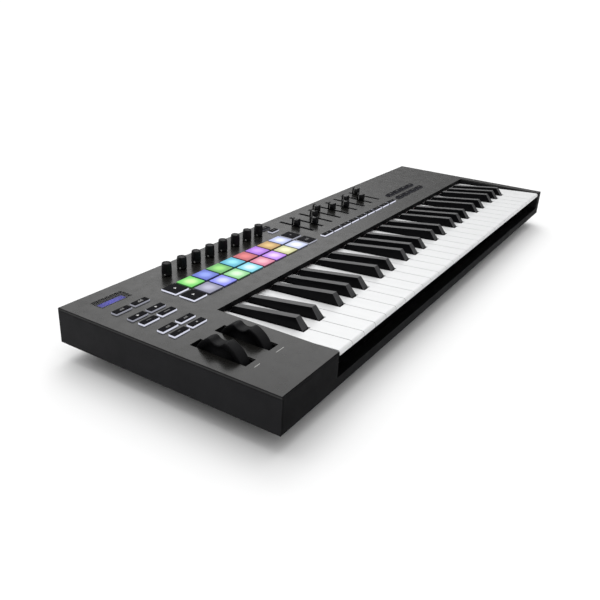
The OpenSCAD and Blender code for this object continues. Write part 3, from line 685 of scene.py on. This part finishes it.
def fader_cap(name):
    """A cap with a finger dip between two raised ends, and a pale line across it."""
    low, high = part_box(name)
    cx, cy = (low.x + high.x) / 2, (low.y + high.y) / 2
    w, d = high.x - low.x, high.y - low.y
    foot = PANEL + 1 * MM
    tall = high.z - foot
    lever_w, lever_d = 1.4 * MM, 4 * MM
    bm = bmesh.new()
    loft(bm, cap_rows(cx, cy, w, d, foot, tall))
    loft(bm, [rounded(cx, cy, lever_w, lever_d, 0.3 * MM, z) for z in (low.z, foot + 0.2 * MM)])
    cap_line(bm, cx, cy, w, d, foot, tall)
    softened(piece(name + "_grip", bm, ["cap", "print"], name, "fader_black", name))


# ---------------------------------------------------------------- pads

# Colour over the lamp and at the edge, from left to right
REAR_PADS = [((0.62, 1.0, 0.36), (0.10, 0.62, 0.06)), ((0.24, 0.34, 0.95), (0.06, 0.11, 0.55)),
             ((0.30, 0.80, 0.16), (0.08, 0.38, 0.06)), ((0.26, 0.80, 0.92), (0.04, 0.42, 0.60)),
             ((0.80, 0.16, 0.16), (0.48, 0.06, 0.08)), ((0.62, 0.28, 0.98), (0.34, 0.10, 0.66)),
             ((0.78, 0.52, 0.16), (0.46, 0.26, 0.05)), ((0.86, 0.90, 1.0), (0.40, 0.46, 0.78))]
FRONT_PADS = [((0.46, 0.46, 0.60), (0.20, 0.20, 0.30)), ((0.62, 0.66, 1.0), (0.18, 0.20, 0.84)),
              ((0.72, 1.0, 0.66), (0.22, 0.62, 0.22)), ((0.76, 0.97, 1.0), (0.14, 0.62, 0.76)),
              ((0.96, 0.46, 0.54), (0.66, 0.16, 0.28)), ((0.86, 0.62, 1.0), (0.46, 0.18, 0.84)),
              ((0.92, 0.92, 0.56), (0.58, 0.58, 0.26)), ((0.94, 0.97, 1.0), (0.54, 0.60, 0.84))]


def pads(name, colours):
    """A row of soft pads on square stems; their points say how far out they are and how they are lit."""
    foot, gap, stem_wide = PANEL - 4.5 * MM, 0.1 * MM, 9 * MM
    top_light, side_light = 1.0, 0.12
    bm = bmesh.new()
    spot = bm.verts.layers.float_vector.new("spot")
    core = bm.verts.layers.float_color.new("core")
    edge = bm.verts.layers.float_color.new("edge")
    for (low, high), (bright, deep) in zip(solids(name), colours):
        cx, cy = (low.x + high.x) / 2, (low.y + high.y) / 2
        w, d = high.x - low.x, high.y - low.y
        rows = crowned(bm, cx, cy, w, d, 1.2 * MM, foot, high.z, 0.7 * MM)
        rows += loft(bm, [rounded(cx, cy, stem_wide, stem_wide, 1 * MM, z) for z in (low.z, foot - gap)])
        for v in [v for row in rows for v in row]:
            v[spot] = ((v.co.x - cx) / (w / 2), (v.co.y - cy) / (d / 2), 0)
            lit = top_light if v.co.z > high.z - 0.3 * MM else side_light
            v[core] = (*[c * lit for c in bright], 1)
            v[edge] = (*[c * lit for c in deep], 1)
    finished(piece(name + "_silicone", bm, ["pad"], name, "pad_silicone", name))


# ---------------------------------------------------------------- buttons and their marks

def mark(bm, kind, cx, cy, z, size):
    """A small printed sign, a hair above z: a triangle, bars, a dot, a square or a dash."""
    s = size / 2
    shapes = {
        "right": [[(-0.6 * s, -s), (s, 0), (-0.6 * s, s)]],
        "up": [[(-s, -0.6 * s), (s, -0.6 * s), (0, s)]],
        "down": [[(s, 0.6 * s), (-s, 0.6 * s), (0, -s)]],
        "dash": [[(-s, -0.16 * s), (s, -0.16 * s), (s, 0.16 * s), (-s, 0.16 * s)]],
        "square": [[(-0.7 * s, -0.7 * s), (0.7 * s, -0.7 * s), (0.7 * s, 0.7 * s), (-0.7 * s, 0.7 * s)]],
        "bars": [[(x, -0.55 * s), (x + 0.35 * s, -0.55 * s), (x + 0.35 * s, h * s), (x, h * s)]
                 for x, h in ((-s, 0.1), (-0.45 * s, 0.55), (0.1 * s, 0.3), (0.65 * s, 0.7))],
        "dot": [[(0.7 * s * math.cos(math.radians(30 * i)), 0.7 * s * math.sin(math.radians(30 * i)))
                 for i in range(12)]],
    }
    made = []
    for outline in shapes[kind]:
        rings = [[(cx + x, cy + y, z + h) for x, y in outline] for h in (-0.05 * MM, 0.04 * MM)]
        made += [v for row in loft(bm, rings, 2, smooth=False) for v in row]
    return made


def darken_ends(bm, leftmost):
    """Gives the plate's look to the ends of a row's buttons, all but the one at leftmost."""
    for face in bm.faces:
        if abs(face.normal.x) > 0.6 and face.calc_center_median().x > leftmost + 1 * MM:
            face.material_index = 1


def buttons(name, marks, dark_ends=False):
    """Lit translucent skirts under black plates; marks gives (sign, size, its glow, the skirt's glow)."""
    foot, gap, stem_wide = PANEL - 6 * MM, 0.1 * MM, 4 * MM
    plate_thick, rim = 0.75 * MM, 1.1 * MM
    cells = solids(name)
    bm = bmesh.new()
    glow = bm.verts.layers.float.new("glow")
    for (low, high), (sign, size, sign_glow, rim_glow) in zip(cells, marks):
        cx, cy = (low.x + high.x) / 2, (low.y + high.y) / 2
        w, d = high.x - low.x, high.y - low.y
        plate_low = high.z - plate_thick
        rows = crowned(bm, cx, cy, w, d, 0.7 * MM, foot, plate_low, 0.2 * MM)
        rows += loft(bm, [rounded(cx, cy, stem_wide, stem_wide, 0.4 * MM, z) for z in (low.z, foot - gap)])
        for v in [v for row in rows for v in row]:
            v[glow] = rim_glow
        crowned(bm, cx, cy, w - rim, d - rim, 0.6 * MM, plate_low - gap, high.z, 0.25 * MM, 1)
        for v in mark(bm, sign, cx, cy, high.z, size * MM):
            v[glow] = sign_glow
    bm.normal_update()
    if dark_ends:
        darken_ends(bm, cells[0][0].x)
    finished(piece(name + "_lit", bm, ["rim", "plate", "mark"], name, "button_black", name))


def all_buttons():
    """The six groups; solids() gives each group's buttons by column, front to back."""
    sets = {
        "display_buttons": [("right", 3.2, 0.9, 0.3), ("bars", 5, 0.2, 0.3),
                            ("right", 3.2, 0.9, 0.3), ("bars", 6, 0.3, 0.3)],
        "octave_buttons": [("dash", 3, 0.10, 0.75), ("bars", 5, 0.10, 0.75), ("dash", 6, 0.03, 0.75),
                           ("dot", 3, 0.35, 0.75), ("bars", 5, 0.12, 0.75), ("dash", 8, 0.08, 0.75)],
        "pad_side_buttons": [("right", 3.6, 1.0, 0.85), ("right", 3.6, 1.0, 0.85),
                             ("bars", 7, 0.12, 0.4), ("down", 4, 0.12, 0.4)],
        "device_buttons": [("dash", 6, 0.05, 0.55), ("dash", 6, 0.05, 0.03)],
        "fader_buttons": [("dash", 5, 0.06, 0.9)] * 9,
        "transport_buttons": [("dash", 6, 0.05, 0.0), ("square", 3.4, 0.1, 0.0), ("dash", 6, 0.05, 0.0),
                              ("right", 4, 0.1, 0.0), ("dash", 6, 0.05, 0.0), ("dot", 3.6, 0.1, 0.0),
                              ("dash", 6, 0.05, 0.0), ("up", 4, 0.1, 0.0)],
    }
    for name, marks in sets.items():
        buttons(name, marks, dark_ends=name == "fader_buttons")


# ---------------------------------------------------------------- films on the panel

def printed(bm, cx, cy, w, d, r):
    """A thin film on the panel, with round corners."""
    loft(bm, [rounded(cx, cy, w, d, r, PANEL + h) for h in FILM], smooth=False)


def legends():
    """A short plain line in front of each wheel, where a real panel carries its small print."""
    bm = bmesh.new()
    wide, ahead = 0.9 * MM, 37 * MM
    for name, length in (("pitch_wheel", 8 * MM), ("mod_wheel", 12 * MM)):
        x, y, _ = JOINTS[name + "_turn"]["pos_m"]
        printed(bm, x, y - ahead, length, wide, wide * 0.4)
    piece("panel_print", bm, ["print"], NODE_BODY["top_case"], "panel_grey")


def painted_slot_shade():
    """Dark films along both sides and round the ends of each fader's slot: painted shade that makes each slot look
    wider.
    """
    bm = bmesh.new()
    half, shade_band, length, corner = 1.7 * MM, 1.2 * MM, 51.3 * MM, 0.2 * MM
    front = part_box("bottom_case")[0].y + 191 * MM
    for number in range(1, 10):
        low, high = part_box(f"fader_cap_{number}")
        cx = (low.x + high.x) / 2
        for side in (-1, 1):
            printed(bm, cx + side * (half + shade_band / 2), front + length / 2, shade_band, length + 2 * shade_band, corner)
        for y in (front - shade_band / 2, front + length + shade_band / 2):
            printed(bm, cx, y, 2 * half, shade_band, corner)
    # the films take the plate's near-black look as painted shade
    piece("painted_slot_shade", bm, ["plate"], NODE_BODY["top_case"], "panel_grey")


# ---------------------------------------------------------------- stage, light and camera

def soft_sun(name, toward, strength, spread):
    """A wide, even light that comes from the direction toward, with soft shadows."""
    lamp = bpy.data.lights.new(name, "SUN")
    lamp.energy = strength
    lamp.angle = math.radians(spread)
    made = bpy.data.objects.new(name, lamp)
    made.location = toward
    made.rotation_euler = Vector(toward).to_track_quat("Z", "Y").to_euler()
    bpy.context.scene.collection.objects.link(made)


def studio_sky():
    """Light that is strong overhead and weak near the horizon, with a pale line where the floor ends."""
    world = bpy.data.worlds.new("studio")
    world.use_nodes = True
    nodes, links = world.node_tree.nodes, world.node_tree.links
    back = nodes["Background"]
    back.inputs["Strength"].default_value = 1.35
    where = nodes.new("ShaderNodeTexCoord")
    parts = nodes.new("ShaderNodeSeparateXYZ")
    links.new(where.outputs["Generated"], parts.inputs[0])
    ramp = nodes.new("ShaderNodeValToRGB")
    links.new(parts.outputs["Z"], ramp.inputs["Fac"])
    steps = ramp.color_ramp.elements
    steps[0].position, steps[0].color = 0.0, (0.8, 0.8, 0.8, 1)
    steps[1].position, steps[1].color = 1.0, (1, 1, 1, 1)
    for height, level in ((0.03, 0.8), (0.06, 0.12), (0.4, 0.34)):
        steps.new(height).color = (level, level, level, 1)
    links.new(ramp.outputs["Color"], back.inputs["Color"])
    bpy.context.scene.world = world


def floor():
    """A wide pale floor."""
    mat, shader = plain("floor_white", (0.86, 0.86, 0.86), 0.9, specular=0.0)
    mesh = bpy.data.meshes.new("floor")
    far = 60.0
    mesh.from_pydata([(-far, -far, 0), (far, -far, 0), (far, far, 0), (-far, far, 0)], [], [(0, 1, 2, 3)])
    mesh.materials.append(mat)
    made = bpy.data.objects.new("floor", mesh)
    bpy.context.scene.collection.objects.link(made)


def stage():
    """A white floor, a soft light behind on the right that the panel mirrors, and one from above."""
    floor()
    studio_sky()
    soft_sun("back_softbox", (0.8, 0.58, 0.8), 0.72, 44)
    soft_sun("overhead", (0.3, 0.2, 1.6), 0.85, 50)
    bpy.context.scene.view_settings.view_transform = "Standard"


def camera():
    """The photograph's viewpoint: left of the left end, in front, about 0.28 m above the panel."""
    data = bpy.data.cameras.new("camera")
    data.lens = 39.72
    data.sensor_width = 36
    data.clip_end = 200
    made = bpy.data.objects.new("camera", data)
    made.location = (-0.7595, -0.36, 0.3392)
    made.rotation_euler = [math.radians(a) for a in (65.25, -2.91, -57.57)]
    bpy.context.scene.collection.objects.link(made)
    bpy.context.scene.camera = made


camera()
stage()
top_shell()
bottom_shell()
inner_parts()
display()
for group in list(frame["nodes"]):
    if group.startswith("octave") and group.endswith("black"):
        black_keys(group)
    elif group.startswith("octave") and "keys" in group or group == "top_c_key":
        white_keys(group)
wheel("pitch_wheel")
wheel("mod_wheel")
for number in range(1, 9):
    knob(f"knob_{number}")
for number in range(1, 10):
    fader_cap(f"fader_cap_{number}")
pads("pads_rear_row", REAR_PADS)
pads("pads_front_row", FRONT_PADS)
all_buttons()
legends()
painted_slot_shade()
